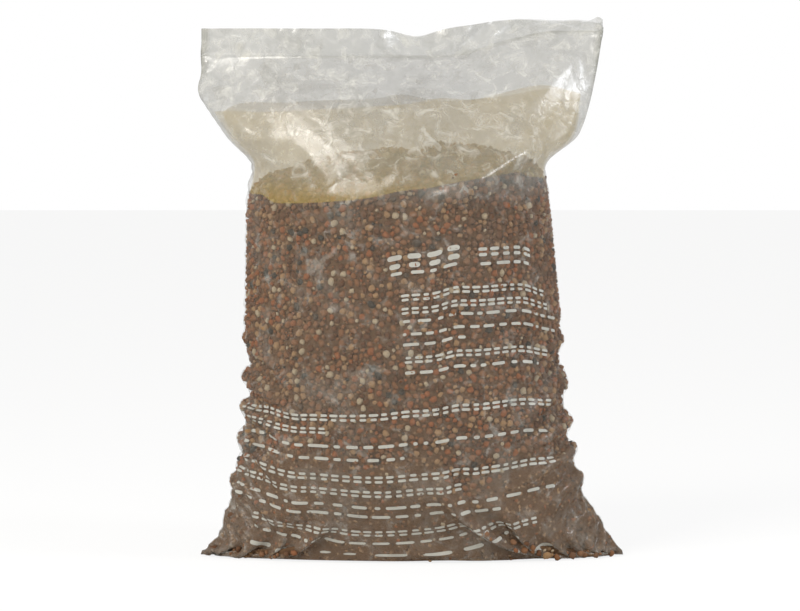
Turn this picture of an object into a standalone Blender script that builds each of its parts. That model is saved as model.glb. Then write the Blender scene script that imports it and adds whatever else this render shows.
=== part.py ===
# A see-through polythene bag of granular bonsai soil, standing upright on its welded foot.
# Metres, +Z up, the printed front towards -Y. The origin is on the floor under the bag's middle.

import functools
import math

import bmesh
import bpy

# Film tube
LAY_FLAT_WIDTH = 0.270  # the empty tube laid flat, side fold to side fold
FILM_WALL = 0.0003  # drawn heavier than the real 0.1 mm film
WELD_GAP = 0.0003  # left between the two walls at the top weld
HEADER_HEIGHT = 0.0175  # loose film above the top weld
WELD_HEIGHT = 0.003

# Silhouette of the filled bag: height above the floor, and how far the left and the right side
# are drawn in from the folds of the flat tube
EAR_ROOT = (0.0170, 0.0125, 0.0110)
HIP = (0.0400, 0.0170, 0.0230)
BELLY = (0.0900, 0.0255, 0.0330)
CHEST = (0.1650, 0.0285, 0.0410)
SHOULDER = (0.2280, 0.0300, 0.0475)
NECK = (0.2480, 0.0340, 0.0505)
WING = (0.2690, 0.0170, 0.0290)
CUFF = (0.3000, 0.0020, 0.0175)
WELD = (0.3180, 0.0010, 0.0135)

# Foot
FOOT_HALF_DEPTH = 0.036  # the flat that the bag stands on, front to back, halved
FOOT_ROLL = 0.045  # height over which the foot's outline turns into the taut tube's

# Headspace
DRAW_IN_POWER = 1.5  # how late the walls turn in between the shoulder and the weld
HEADER_SWAY = 0.014  # how far the top edge waves forward and back
WELD_RISE = 0.016  # how much higher the weld ends at the right
RISE_FROM, RISE_TO = 0.016, 0.096
LEAN_LEFT, LEAN_RIGHT = math.radians(4), math.radians(68)  # the header leans back at the right

# Gathers in the slack film at the sides, and the large folds of the headspace
GATHER_HEIGHT, GATHER_PITCH = 0.0030, 0.0270
GATHER_SLANT = 0.55  # how steeply the gathers run down towards the middle
GATHER_FROM = 0.62  # share of the reach where they begin
LEFT_FOLD = ((-0.1320, 0.3080), (-0.0890, 0.2600))
RIGHT_FOLD = ((0.0080, 0.2290), (0.0800, 0.2660))
FOLD_HEIGHT, FOLD_WIDTH = 0.0045, 0.0075

# Soil
SOIL_GAP = 0.0008  # between the soil and the film around it
SOIL_LIFT = 0.0003  # between the soil and the film under it
EAR_CLEARANCE = 0.0040  # the soil stops this far inside the ear tips
SOIL_SHOULDER = 0.2300
SOIL_CREST = 0.2560
CREST_LONG, CREST_SHORT = 0.30, 0.75  # how fast the top closes along X and along Y

# Facets
COLUMNS = 23  # from side fold to side fold, on each wall
FILM_ROW = 0.0070
SOIL_ROW = 0.0130
CREST_ROWS = 5


def smooth_step(share):
    """0 to 1, level at both ends."""
    share = min(max(share, 0.0), 1.0)
    return share * share * (3 - 2 * share)


def between(low, high, share):
    return low + (high - low) * share


@functools.cache
def silhouette():
    """(height, left reach, right reach) from the ear tips up to the weld."""
    tip = LAY_FLAT_WIDTH / 2
    drawn_in = ((0.0, 0.0, 0.0), EAR_ROOT, HIP, BELLY, CHEST, SHOULDER, NECK, WING, CUFF, WELD)
    return tuple((height, tip - left, tip - right) for height, left, right in drawn_in)


def slope_at(points, index):
    """Slope of a curve through the points that doesn't overshoot them."""
    if index in (0, len(points) - 1):
        first = min(index, len(points) - 2)
        (x0, y0), (x1, y1) = points[first], points[first + 1]
        return (y1 - y0) / (x1 - x0)
    (x0, y0), (x1, y1), (x2, y2) = points[index - 1 : index + 2]
    before, after = (y1 - y0) / (x1 - x0), (y2 - y1) / (x2 - x1)
    if before * after <= 0:
        return 0.0
    return 2 * before * after / (before + after)


def curve_through(points, at):
    """Value at one place of a smooth curve through (place, value) points."""
    last = len(points) - 2
    index = next((i for i in range(last) if at <= points[i + 1][0]), last)
    (x0, y0), (x1, y1) = points[index], points[index + 1]
    run = x1 - x0
    t = min(max((at - x0) / run, 0.0), 1.0)
    m0, m1 = slope_at(points, index) * run, slope_at(points, index + 1) * run
    ends = y0 * (2 * t**3 - 3 * t**2 + 1) + y1 * (3 * t**2 - 2 * t**3)
    return ends + m0 * (t**3 - 2 * t**2 + t) + m1 * (t**3 - t**2)


@functools.cache
def reach_at(height, side):
    """How far the bag reaches to the left (side -1) or to the right (side 1)."""
    column = 1 if side < 0 else 2
    return curve_through([(row[0], row[column]) for row in silhouette()], height)


def roundness_at(height):
    """1 gives a section with sharp side edges, 2 an ellipse."""
    rising = smooth_step(height / FOOT_ROLL)
    closing = smooth_step((height - NECK[0]) / (WELD[0] - NECK[0]))
    return between(1.15, 2.0, rising) - 0.9 * closing


def profile(share, roundness):
    """Half-depth of a section as a share of its deepest, at a share of its reach."""
    return max(1 - share * share, 0.0) ** (1 / roundness)


def girth(half_width, half_depth, roundness):
    steps = 48
    corners = []
    for i in range(steps + 1):
        share = -math.cos(math.pi * i / steps)
        corners.append((half_width * share, half_depth * profile(share, roundness)))
    return 2 * sum(math.dist(a, b) for a, b in zip(corners, corners[1:]))


@functools.cache
def taut_half_depth(height):
    """Half-depth at which the section uses up the whole girth of the film tube."""
    half_width = (reach_at(height, -1) + reach_at(height, 1)) / 2
    roundness = roundness_at(height)
    low, high = 0.0, LAY_FLAT_WIDTH
    for _ in range(30):
        middle = (low + high) / 2
        if girth(half_width, middle, roundness) < 2 * LAY_FLAT_WIDTH:
            low = middle
        else:
            high = middle
    return low


@functools.cache
def half_depth_at(height):
    """Half-depth of the bag: rolled over its foot, taut round the soil, drawn in to the weld."""
    thinnest = WELD_GAP / 2
    if height >= SHOULDER[0]:
        share = min((height - SHOULDER[0]) / (WELD[0] - SHOULDER[0]), 1.0)
        taut = taut_half_depth(SHOULDER[0])
        return between(taut, thinnest, share**DRAW_IN_POWER)
    taut = taut_half_depth(max(height, EAR_ROOT[0]))
    return max(between(FOOT_HALF_DEPTH, taut, smooth_step(height / FOOT_ROLL) ** 0.5), thinnest)


def sway_at(x, height):
    """How far the headspace's middle plane stands back (+) or forward (-)."""
    share = smooth_step((height - NECK[0]) / (WELD[0] - NECK[0]))
    return HEADER_SWAY * share * math.sin(2 * math.pi * (x - 0.016) / LAY_FLAT_WIDTH)


def rise_at(x, height):
    """How much the headspace is drawn up at the right."""
    share = smooth_step((height - WING[0]) / (WELD[0] - WING[0]))
    return WELD_RISE * share * smooth_step((x - RISE_FROM) / (RISE_TO - RISE_FROM))


def gather_at(x, height, share):
    """Outward ripple of the slack film at the sides."""
    side = smooth_step((abs(share) - GATHER_FROM) / (1 - GATHER_FROM))
    upright = smooth_step((height - HIP[0] / 2) / HIP[0]) * smooth_step((SHOULDER[0] - height) / HIP[0])
    turn = 2 * math.pi * (height - GATHER_SLANT * abs(x)) / GATHER_PITCH
    return GATHER_HEIGHT * side * upright * (0.5 + 0.5 * math.sin(turn))


def fold_at(x, height, fold):
    """Outward ridge of one large fold of the front wall."""
    (x0, z0), (x1, z1) = fold
    length = math.hypot(x1 - x0, z1 - z0)
    along = ((x - x0) * (x1 - x0) + (height - z0) * (z1 - z0)) / length
    across = abs((x - x0) * (z1 - z0) - (height - z0) * (x1 - x0)) / length
    ends = smooth_step(along / (length / 4)) * smooth_step((length - along) / (length / 4))
    return FOLD_HEIGHT * ends * math.exp(-((across / FOLD_WIDTH) ** 2))


def film_point(height, share, wall):
    """A point of the film's inner face. wall is -1 on the front, 1 on the back."""
    side = 1 if share > 0 else -1
    reach, depth = reach_at(height, side), half_depth_at(height)
    x, y = reach * share, wall * depth * profile(share, roundness_at(height))
    out_x, out_y = x / reach**2, y / max(depth, 0.004) ** 2
    length = math.hypot(out_x, out_y) or 1.0
    out = gather_at(x, height, share)
    if wall < 0:
        out += fold_at(x, height, LEFT_FOLD) + fold_at(x, height, RIGHT_FOLD)
    out *= smooth_step((WELD[0] - height) / (WELD[0] - CUFF[0]))
    x, y = x + out * out_x / length, y + out * out_y / length
    return x, y + sway_at(x, height), height + rise_at(x, height)


def lean_at(x):
    """How far the header leans back from upright."""
    return between(LEAN_LEFT, LEAN_RIGHT, smooth_step((x - RISE_FROM) / (RISE_TO - RISE_FROM)))


def header_point(up, share, wall):
    """A point of the film's inner face, a distance up from the weld's lower edge."""
    side = 1 if share > 0 else -1
    x = reach_at(WELD[0], side) * share
    lean, half_gap = lean_at(x), wall * WELD_GAP / 2
    y = sway_at(x, WELD[0]) + up * math.sin(lean) + half_gap * math.cos(lean)
    z = WELD[0] + rise_at(x, WELD[0]) + up * math.cos(lean) - half_gap * math.sin(lean)
    return x, y, z


def levels(marks, row):
    """Heights from the first mark to the last, through every mark and about one row apart."""
    heights = [marks[0]]
    for low, high in zip(marks, marks[1:]):
        count = max(1, round((high - low) / row))
        heights += [between(low, high, i / count) for i in range(1, count + 1)]
    return heights


def shares():
    """Places across a wall, as shares of the reach, closer together towards the side folds."""
    return [-math.cos(math.pi * i / COLUMNS) for i in range(COLUMNS + 1)]


def ring(point_at, mesh):
    """Corners all round: the front from left to right, then the back from right to left."""
    front = [mesh.verts.new(point_at(share, -1)) for share in shares()]
    back = [mesh.verts.new(point_at(share, 1)) for share in shares()[1:-1]]
    return front + back[::-1]


def skin(mesh, rings):
    for low, high in zip(rings, rings[1:]):
        for i in range(len(low)):
            after = (i + 1) % len(low)
            mesh.faces.new((low[i], low[after], high[after], high[i]))


def floor_of(mesh, lowest, height):
    """Closes the lowest ring with a flat that has the foot's weld along its middle."""
    front = lowest[: COLUMNS + 1]
    back = [front[0], *reversed(lowest[COLUMNS + 1 :]), front[-1]]
    seam = [mesh.verts.new((corner.co.x, 0.0, height)) for corner in front[1:-1]]
    seam = [front[0], *seam, front[-1]]
    for i in range(COLUMNS):
        for near, far in ((seam, front), (back, seam)):
            corners = (near[i], near[i + 1], far[i + 1], far[i])
            mesh.faces.new(dict.fromkeys(corners))


def finish(mesh, name, material, collection):
    """Makes the object of a mesh whose faces all point outwards."""
    bmesh.ops.recalc_face_normals(mesh, faces=mesh.faces)
    data = bpy.data.meshes.new(name)
    mesh.to_mesh(data)
    mesh.free()
    data.materials.append(material)
    data.shade_smooth()
    made = bpy.data.objects.new(name, data)
    collection.objects.link(made)
    return made


def plain_material(name, colour, roughness, alpha=1.0):
    material = bpy.data.materials.new(name)
    material.use_nodes = True
    shader = material.node_tree.nodes["Principled BSDF"]
    shader.inputs["Base Color"].default_value = (*colour, 1.0)
    shader.inputs["Roughness"].default_value = roughness
    shader.inputs["Metallic"].default_value = 0.0
    shader.inputs["Alpha"].default_value = alpha
    return material


def film_bag(collection):
    """The whole bag: one tube of film, welded shut at the foot and at the top, with a loose header."""
    mesh = bmesh.new()
    marks = (FILM_WALL, *(row[0] for row in silhouette()[1:]))
    rings = []
    for height in levels(marks, FILM_ROW):
        rings.append(ring(lambda share, wall, z=height: film_point(z, share, wall), mesh))
    for up in (WELD_HEIGHT, between(WELD_HEIGHT, HEADER_HEIGHT, 0.5), HEADER_HEIGHT):
        rings.append(ring(lambda share, wall, d=up: header_point(d, share, wall), mesh))
    skin(mesh, rings)
    floor_of(mesh, rings[0], FILM_WALL)
    made = finish(mesh, "film_bag", plain_material("clear_film", (0.80, 0.79, 0.74), 0.25, 0.35), collection)
    wall = made.modifiers.new("wall", "SOLIDIFY")
    wall.thickness = FILM_WALL
    wall.offset = 1.0
    return made


def soil_point(height, share, wall, long=1.0, short=1.0):
    """A point of the soil's surface. long and short shrink a ring of its top along X and Y."""
    side = 1 if share > 0 else -1
    ear = EAR_CLEARANCE * (1 - smooth_step(height / FOOT_ROLL))
    reach = min(reach_at(height, side), reach_at(min(height, NECK[0]), side)) - SOIL_GAP - ear
    depth = half_depth_at(height) - SOIL_GAP
    return long * reach * share, wall * short * depth * profile(share, roundness_at(height)), height


def soil_fill(collection):
    """The granules as one settled mass: it fills the tube, and its top is a low mound."""
    mesh = bmesh.new()
    bottom = FILM_WALL + SOIL_LIFT
    marks = (bottom, EAR_ROOT[0], HIP[0], BELLY[0], CHEST[0], SOIL_SHOULDER)
    rings = []
    for height in levels(marks, SOIL_ROW):
        rings.append(ring(lambda share, wall, z=height: soil_point(z, share, wall), mesh))
    for i in range(1, CREST_ROWS + 1):
        turn = math.pi / 2 * i / (CREST_ROWS + 0.5)
        height = between(SOIL_SHOULDER, SOIL_CREST, math.sin(turn))
        long, short = math.cos(turn) ** CREST_LONG, math.cos(turn) ** CREST_SHORT
        rings.append(ring(lambda share, wall, z=height, a=long, b=short: soil_point(z, share, wall, a, b), mesh))
    skin(mesh, rings)
    floor_of(mesh, rings[0], bottom)
    mesh.faces.new(rings[-1])
    return finish(mesh, "soil_fill", plain_material("granular_soil", (0.20, 0.12, 0.07), 0.95), collection)


def main():
    for leftover in list(bpy.data.objects):
        bpy.data.objects.remove(leftover)
    collection = bpy.data.collections.new("compost_bag")
    bpy.context.scene.collection.children.link(collection)
    film_bag(collection)
    soil_fill(collection)


main()
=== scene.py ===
"""A see-through bag of granular bonsai soil: relaxed film, printed ink, granules, dust and a studio.

Laid out as an add-on and run as a script. Everything is in metres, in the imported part's frame.
"""

import functools
import math

import bmesh
import bpy
import numpy as np
from bpy.props import FloatProperty, FloatVectorProperty, IntProperty, PointerProperty
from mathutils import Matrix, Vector


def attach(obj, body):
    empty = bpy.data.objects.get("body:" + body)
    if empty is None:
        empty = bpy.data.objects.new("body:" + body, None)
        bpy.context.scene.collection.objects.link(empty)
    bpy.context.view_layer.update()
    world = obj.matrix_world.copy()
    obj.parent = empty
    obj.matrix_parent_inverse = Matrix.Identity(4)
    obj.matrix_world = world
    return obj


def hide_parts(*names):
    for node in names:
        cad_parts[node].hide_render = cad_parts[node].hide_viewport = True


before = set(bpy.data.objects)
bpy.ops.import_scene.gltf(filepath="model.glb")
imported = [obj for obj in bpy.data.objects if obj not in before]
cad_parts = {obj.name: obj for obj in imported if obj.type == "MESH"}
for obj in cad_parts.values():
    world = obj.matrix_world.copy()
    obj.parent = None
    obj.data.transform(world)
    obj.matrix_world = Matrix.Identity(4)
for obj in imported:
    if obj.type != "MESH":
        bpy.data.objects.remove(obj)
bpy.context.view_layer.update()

bl_info = {
    "name": "Bag of bonsai soil",
    "version": (1, 0, 0),
    "blender": (4, 5, 0),
    "location": "3D View > Sidebar > Soil bag",
    "description": "Builds a clear film bag of granular soil with its print, and a studio around it",
    "category": "Add Mesh",
}

# Outline of the filled bag: height above the floor, reach to the left, reach to the right
STATIONS = (
    (0.0000, 0.1350, 0.1350),
    (0.0170, 0.1225, 0.1240),
    (0.0400, 0.1180, 0.1120),
    (0.0900, 0.1095, 0.1020),
    (0.1650, 0.1065, 0.0940),
    (0.2280, 0.1050, 0.0875),
    (0.2480, 0.1010, 0.0845),
    (0.2690, 0.1180, 0.1060),
    (0.3000, 0.1330, 0.1175),
    (0.3180, 0.1340, 0.1215),
)
SHOULDER, NECK, WING, CUFF, WELD = 0.228, 0.248, 0.269, 0.300, 0.318
FOOT_HALF_DEPTH, FOOT_ROLL = 0.036, 0.045
DRAW_IN_POWER = 1.5
HEADER_SWAY, WELD_RISE, RISE_FROM, RISE_TO = 0.014, 0.016, 0.016, 0.096

# Soil
SOIL_SHOULDER, SOIL_CREST = 0.230, 0.256
CREST_LONG, CREST_SHORT = 0.30, 0.75

# Grid of the film at its coarsest: rows up to the top weld, rows of header, columns across a wall
BODY_ROWS, HEADER_ROWS, COLUMNS, LEVELS = 15, 1, 10, 4

# Gathers in the slack film at the sides, drawn in from the outline
GATHER_DEPTH, GATHER_PITCH, GATHER_SLANT = 0.0055, 0.0240, 0.60
GATHER_FROM, GATHER_TO, GATHER_FADE = 0.0080, 0.1600, 0.0400
GATHER_LEFT, GATHER_RIGHT = 0.60, 0.45
DRIFT, DRIFT_PITCH = 1.1, 0.0850

# Large folds of each wall, as ridges: one end in (x, z), the other end, height, width
FRONT_FOLDS = (
    ((-0.1350, 0.3090), (-0.0890, 0.2580), 0.0100, 0.0090),
    ((0.0340, 0.3180), (-0.0200, 0.2260), 0.0060, 0.0120),
    ((0.1100, 0.3140), (0.0420, 0.2680), 0.0060, 0.0110),
    ((0.0080, 0.2280), (0.0840, 0.2690), 0.0090, 0.0090),
    ((-0.1160, 0.0050), (-0.0600, 0.0420), 0.0040, 0.0080),
    ((0.0150, 0.0480), (0.1120, 0.0060), 0.0040, 0.0080),
)
BACK_FOLDS = (
    ((-0.1280, 0.3080), (-0.0640, 0.2520), 0.0080, 0.0110),
    ((-0.0200, 0.3180), (0.0260, 0.2340), 0.0060, 0.0120),
    ((0.1120, 0.3120), (0.0500, 0.2500), 0.0080, 0.0110),
    ((-0.1160, 0.0050), (-0.0500, 0.0460), 0.0040, 0.0080),
    ((0.0300, 0.0460), (0.1120, 0.0060), 0.0040, 0.0080),
)

# Rows of bars that stand for lettering on the front: left end and right end along the flat film,
# height up it in the middle of the wall, height of the row. Every row bows by PRINT_BOW at the side folds.
TEXT_ROWS = (
    (0.125, 0.178, 0.2400, 0.0110),
    (0.183, 0.224, 0.2400, 0.0070),
    (0.125, 0.175, 0.2325, 0.0035),
    (0.183, 0.222, 0.2325, 0.0035),
    (0.133, 0.237, 0.2165, 0.0055),
    (0.133, 0.243, 0.2080, 0.0055),
    (0.133, 0.248, 0.2013, 0.0032),
    (0.133, 0.250, 0.1930, 0.0032),
    (0.133, 0.174, 0.1864, 0.0032),
    (0.134, 0.235, 0.1765, 0.0055),
    (0.134, 0.227, 0.1683, 0.0034),
    (0.012, 0.240, 0.1420, 0.0058),
    (0.020, 0.083, 0.1330, 0.0055),
    (0.018, 0.237, 0.1225, 0.0036),
    (0.015, 0.137, 0.1137, 0.0036),
    (0.010, 0.237, 0.1005, 0.0060),
    (0.012, 0.172, 0.0905, 0.0058),
    (0.012, 0.237, 0.0808, 0.0036),
    (0.015, 0.193, 0.0742, 0.0036),
    (0.030, 0.222, 0.0610, 0.0055),
    (0.030, 0.205, 0.0528, 0.0034),
    (0.030, 0.228, 0.0412, 0.0050),
)
PRINT_BOW, LARGE_ROW = -0.015, 0.005


def linear(hex_colour):
    """An sRGB hex colour as linear red, green, blue and full alpha."""
    parts = [int(hex_colour[i : i + 2], 16) / 255 for i in (0, 2, 4)]
    return (*[c / 12.92 if c <= 0.04045 else ((c + 0.055) / 1.055) ** 2.4 for c in parts], 1.0)


def smooth(share):
    """0 to 1, level at both ends."""
    share = np.clip(share, 0.0, 1.0)
    return share * share * (3 - 2 * share)


# The bag's form before its film is let go


def curve_through(points, at):
    """A smooth curve through (place, value) points that doesn't overshoot them."""
    places, values = np.array(points).T
    run = np.diff(places)
    rise = np.diff(values) / run
    slope = np.concatenate([rise[:1], rise[1:], rise[-1:]])
    before, after = rise[:-1], rise[1:]
    same = before * after > 0
    slope[1:-1] = np.where(same, 2 * before * after / np.where(same, before + after, 1.0), 0.0)
    i = np.clip(np.searchsorted(places, at, side="right") - 1, 0, len(run) - 1)
    t = np.clip((at - places[i]) / run[i], 0, 1)
    ends = values[i] * (2 * t**3 - 3 * t**2 + 1) + values[i + 1] * (3 * t**2 - 2 * t**3)
    return ends + run[i] * (slope[i] * (t**3 - 2 * t**2 + t) + slope[i + 1] * (t**3 - t**2))


def reach(height, side):
    """How far the bag reaches to the left (side -1) or to the right (side 1)."""
    column = 1 if side < 0 else 2
    return curve_through([(row[0], row[column]) for row in STATIONS], height)


def roundness(height):
    """1 gives a section with sharp side edges, 2 an ellipse."""
    closing = smooth((height - NECK) / (WELD - NECK))
    return 1.15 + 0.85 * smooth(height / FOOT_ROLL) - 0.9 * closing


def profile(share, power):
    return np.maximum(1 - share * share, 0.0) ** (1 / power)


@functools.cache
def taut_depths(width):
    """Heights, and the half-depth at each at which the section uses up the tube's whole girth."""
    heights = np.linspace(0, WELD, 160)
    share = -np.cos(np.linspace(0, math.pi, 97))
    depths = []
    for height in heights:
        half_width = (reach(height, -1) + reach(height, 1)) / 2
        across = profile(share, roundness(height))
        low, high = 0.0, width
        for _ in range(30):
            middle = (low + high) / 2
            girth = 2 * np.hypot(np.diff(half_width * share), np.diff(middle * across)).sum()
            low, high = (middle, high) if girth < 2 * width else (low, middle)
        depths.append(low)
    return heights, np.array(depths)


def half_depth(height, width):
    heights, taut = taut_depths(width)
    at = np.interp(np.clip(height, 0.017, SHOULDER), heights, taut)
    below = FOOT_HALF_DEPTH + (at - FOOT_HALF_DEPTH) * smooth(height / FOOT_ROLL) ** 0.5
    share = np.clip((height - SHOULDER) / (WELD - SHOULDER), 0, 1)
    return np.where(height >= SHOULDER, at + (0.00015 - at) * share**DRAW_IN_POWER, below)


def header_lean(x):
    """How far the header leans back: upright at the left, a kink in the middle, laid back at the right."""
    kink = math.radians(44) * np.exp(-(((x - 0.003) / 0.016) ** 2))
    return math.radians(4) + kink + math.radians(64) * smooth((x - 0.026) / 0.070)


def fold_ridge(x, z, fold):
    (x0, z0), (x1, z1), ridge, width = fold
    length = math.hypot(x1 - x0, z1 - z0)
    along = ((x - x0) * (x1 - x0) + (z - z0) * (z1 - z0)) / length
    across = ((x - x0) * (z1 - z0) - (z - z0) * (x1 - x0)) / length
    ends = smooth(along / (length / 4)) * smooth((length - along) / (length / 4))
    return ridge * ends * np.exp(-((across / width) ** 2))


def folds_at(x, z, share, wall):
    """How far the large folds of a wall stand out. wall is -1 on the front, 1 on the back."""
    folds = FRONT_FOLDS if wall < 0 else BACK_FOLDS
    return sum(fold_ridge(x, z, fold) for fold in folds) * smooth((WELD - z) / (WELD - CUFF))


def gathers_at(x, z, share):
    """How far the slack film at the sides is drawn in between its gathers."""
    begin = np.where(share < 0, GATHER_LEFT, GATHER_RIGHT)
    side = smooth((np.abs(share) - begin) / (1 - begin))
    upright = smooth((z - GATHER_FROM) / GATHER_FADE) * smooth((GATHER_TO - z) / GATHER_FADE)
    wander = DRIFT * np.sin(2 * math.pi * z / DRIFT_PITCH + np.copysign(1, share))
    turn = 2 * math.pi * (z - GATHER_SLANT * np.abs(x)) / GATHER_PITCH + wander
    return GATHER_DEPTH * side * upright * (0.5 - 0.5 * np.sin(turn))


def wall_guess(side, columns, rows, width):
    """First guess of one wall, as a grid of points from the foot's weld up to the top weld."""
    around = np.linspace(-1, 1, columns + 1)
    share = -np.cos(np.linspace(0, math.pi, 241))
    folded, gathered = rows > 2 * BODY_ROWS - 1, rows > 4 * BODY_ROWS - 1
    levels = []
    for z in np.concatenate([np.linspace(0, 0.048, 25), np.linspace(0.05, WELD, 180)]):
        x = np.where(share > 0, reach(z, 1), reach(z, -1)) * share
        depth = half_depth(z, width)
        y = depth * profile(share, roundness(z))
        arc = np.concatenate([[0], np.cumsum(np.hypot(np.diff(x), np.diff(y)))])
        want = (around + 1) / 2 * arc[-1]
        x, y = np.interp(want, arc, x), side * np.interp(want, arc, y)
        reached = np.where(x > 0, reach(z, 1), reach(z, -1))
        out_x, out_y = x / reached**2, y / np.maximum(depth, 0.004) ** 2
        out = folds_at(x, z, x / reached, side) * folded - gathers_at(x, z, x / reached) * gathered
        out = out / (np.hypot(out_x, out_y) + 1e-9)
        x, y = x + out * out_x, y + out * out_y
        up = smooth((z - NECK) / (WELD - NECK))
        sway = HEADER_SWAY * up * np.sin(2 * math.pi * (x - 0.016) / width)
        lift = WELD_RISE * smooth((z - WING) / (WELD - WING)) * smooth((x - RISE_FROM) / (RISE_TO - RISE_FROM))
        levels.append(np.stack([x, y + sway, z + lift], -1))
    levels = np.array(levels)
    weld = np.stack([around * STATIONS[0][1], 0 * around, 0 * around], -1)
    floor = weld + (levels[0] - weld) * np.linspace(0, 1, 13)[:-1, None, None]
    path = np.concatenate([floor, levels])
    steps = np.linalg.norm(np.diff(path, axis=0), axis=2)
    arc = np.concatenate([np.zeros((1, columns + 1)), np.cumsum(steps, 0)])
    grid = np.empty((rows + 1, columns + 1, 3))
    for i in range(columns + 1):
        want = np.linspace(0, arc[-1, i], rows + 1)
        for k in range(3):
            grid[:, i, k] = np.interp(want, arc[:, i], path[:, i, k])
    return grid


def bag_guess(finer, width, header):
    """Rings of points round the whole bag: the front from left to right, then the back."""
    front, back = (wall_guess(side, COLUMNS * finer, BODY_ROWS * finer, width) for side in (-1, 1))
    weld, up = front[-1], np.linspace(0, header, HEADER_ROWS * finer + 1)[1:, None]
    tilt = header_lean(weld[:, 0])
    rise = np.stack([0 * tilt, np.sin(tilt), np.cos(tilt)], -1)
    out = np.stack([0 * tilt, np.cos(tilt), -np.sin(tilt)], -1)
    rows = weld + up[..., None] * rise
    front = np.concatenate([front, rows - 0.0004 * out])
    back = np.concatenate([back, rows + 0.0004 * out])
    return np.concatenate([front, back[:, -2:0:-1]], axis=1)


# Letting the film go: it can't stretch, hardly bends, and lies on the soil and the floor


def refine(ring):
    """Twice the rows and columns, through the same points."""

    def halfway(a, b, before, after):
        return (9 * (a + b) - before - after) / 16

    rows, columns, _ = ring.shape
    wide = np.empty((rows, 2 * columns, 3))
    wide[:, 0::2] = ring
    wide[:, 1::2] = halfway(ring, np.roll(ring, -1, 1), np.roll(ring, 1, 1), np.roll(ring, -2, 1))
    before = np.concatenate([2 * wide[:1] - wide[1:2], wide[:-2]])
    after = np.concatenate([wide[2:], 2 * wide[-1:] - wide[-2:-1]])
    tall = np.empty((2 * rows - 1, 2 * columns, 3))
    tall[0::2] = wide
    tall[1::2] = halfway(wide[:-1], wide[1:], before, after)
    return tall


def links_of(rows, columns, across, along, slants, bend):
    """Groups of links between points, no point twice in a group: first, second, length, give when squeezed."""
    index = np.arange(rows * columns).reshape(rows, columns)
    right, right2 = np.roll(index, -1, 1), np.roll(index, -2, 1)
    groups = []
    for k in (0, 1):
        groups.append((index[:, k::2], right[:, k::2], across[:, k::2], 1.0))
        groups.append((index[k:-1:2], index[k + 1 :: 2], along[k::2], 1.0))
        groups.append((index[k:-1:2], right[k + 1 :: 2], slants[0][k::2], 0.7))
        groups.append((right[k:-1:2], index[k + 1 :: 2], slants[1][k::2], 0.7))
    wide, tall = across + np.roll(across, -1, 1), along[:-1] + along[1:]
    for k in (0, 2):
        pick = np.isin(np.arange(columns) % 4, (k, k + 1))
        groups.append((index[:, pick], right2[:, pick], wide[:, pick], bend))
        low = np.flatnonzero(np.isin(np.arange(rows - 2) % 4, (k, k + 1)))
        groups.append((index[low], index[low + 2], tall[low], bend))
    return [(a.ravel(), b.ravel(), length.ravel(), give) for a, b, length, give in groups]


def soil_reach(points, inset, width):
    """Under 1 inside the soil, 1 on its surface."""
    x, y, z = points.T
    at = np.clip(z, 0, SOIL_SHOULDER)
    a = np.where(x < 0, reach(at, -1), reach(at, 1)) - inset
    b = half_depth(at, width) - inset
    turn = np.arcsin(np.clip((z - SOIL_SHOULDER) / (SOIL_CREST - SOIL_SHOULDER), 0, 1))
    a, b = a * np.cos(turn) ** CREST_LONG + 1e-6, b * np.cos(turn) ** CREST_SHORT + 1e-6
    return ((np.abs(y) / b) ** roundness(at) + (x / a) ** 2) ** 0.5


def let_go(ring, steps, groups, fixed, pull, target, inset, width, rng, tremble):
    """Moves the free points until every link has its length."""
    rows, columns, _ = ring.shape
    half = columns // 2
    points, target = ring.reshape(-1, 3).copy(), target.reshape(-1, 3)
    free = ~fixed.ravel()
    points[free] += rng.normal(0, tremble, (free.sum(), 3))
    loose, pull, inset = free.astype(float), pull.reshape(-1, 1), inset.ravel()
    shares = []
    for a, b, _, _ in groups:
        total = np.maximum(loose[a] + loose[b], 1e-9)
        shares.append(((loose[a] / total)[:, None], (loose[b] / total)[:, None]))
    index = np.arange(rows * columns).reshape(rows, columns)
    front, back = index[:, 1:half].ravel(), index[:, :half:-1].ravel()
    before = points.copy()
    for step in range(steps):
        glide = 0.9 * min(1.0, 2 * (1 - step / steps))
        before, points = points, points + (points - before) * glide
        points += (target - points) * pull
        for (a, b, length, give), (share_a, share_b) in zip(groups, shares):
            near, far = points[a], points[b]
            gap = far - near
            span = np.sqrt(np.einsum("ij,ij->i", gap, gap)) + 1e-12
            wrong = (span - length) / span
            if give < 1.0:
                wrong = np.where(wrong < 0, wrong * give, wrong if give > 0.5 else 0.0)
            gap *= wrong[:, None]
            points[a] = near + gap * share_a
            points[b] = far - gap * share_b
        inside = soil_reach(points, inset, width)
        held = (inside < 1) & (points[:, 2] < SOIL_CREST) & free
        points[held, :2] /= np.maximum(inside[held, None], 0.3)
        points[:, 2] = np.maximum(points[:, 2], 0.0002)
        near, far = points[front], points[back]
        middle = (near + far) / 2
        tilt = header_lean(middle[:, 0]) * smooth((middle[:, 2] - 0.29) / 0.03)
        out = np.stack([0 * tilt, np.cos(tilt), -np.sin(tilt)], -1)
        need = np.maximum(0.0006 - np.einsum("ij,ij->i", far - near, out), 0)[:, None] / 2 * out
        points[front] -= need * loose[front][:, None]
        points[back] += need * loose[back][:, None]
        points[~free] = target[~free]
    return points.reshape(rows, columns, 3)


def eased(ring, weight, rounds):
    """Takes out ripples only a few links long and leaves larger folds as they are."""
    for _ in range(rounds):
        for share in (0.50, -0.53):
            above = np.concatenate([ring[1:], ring[-1:]])
            below = np.concatenate([ring[:1], ring[:-1]])
            mean = (np.roll(ring, 1, axis=1) + np.roll(ring, -1, axis=1) + above + below) / 4
            ring = ring + share * weight[..., None] * (mean - ring)
    return ring


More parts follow.
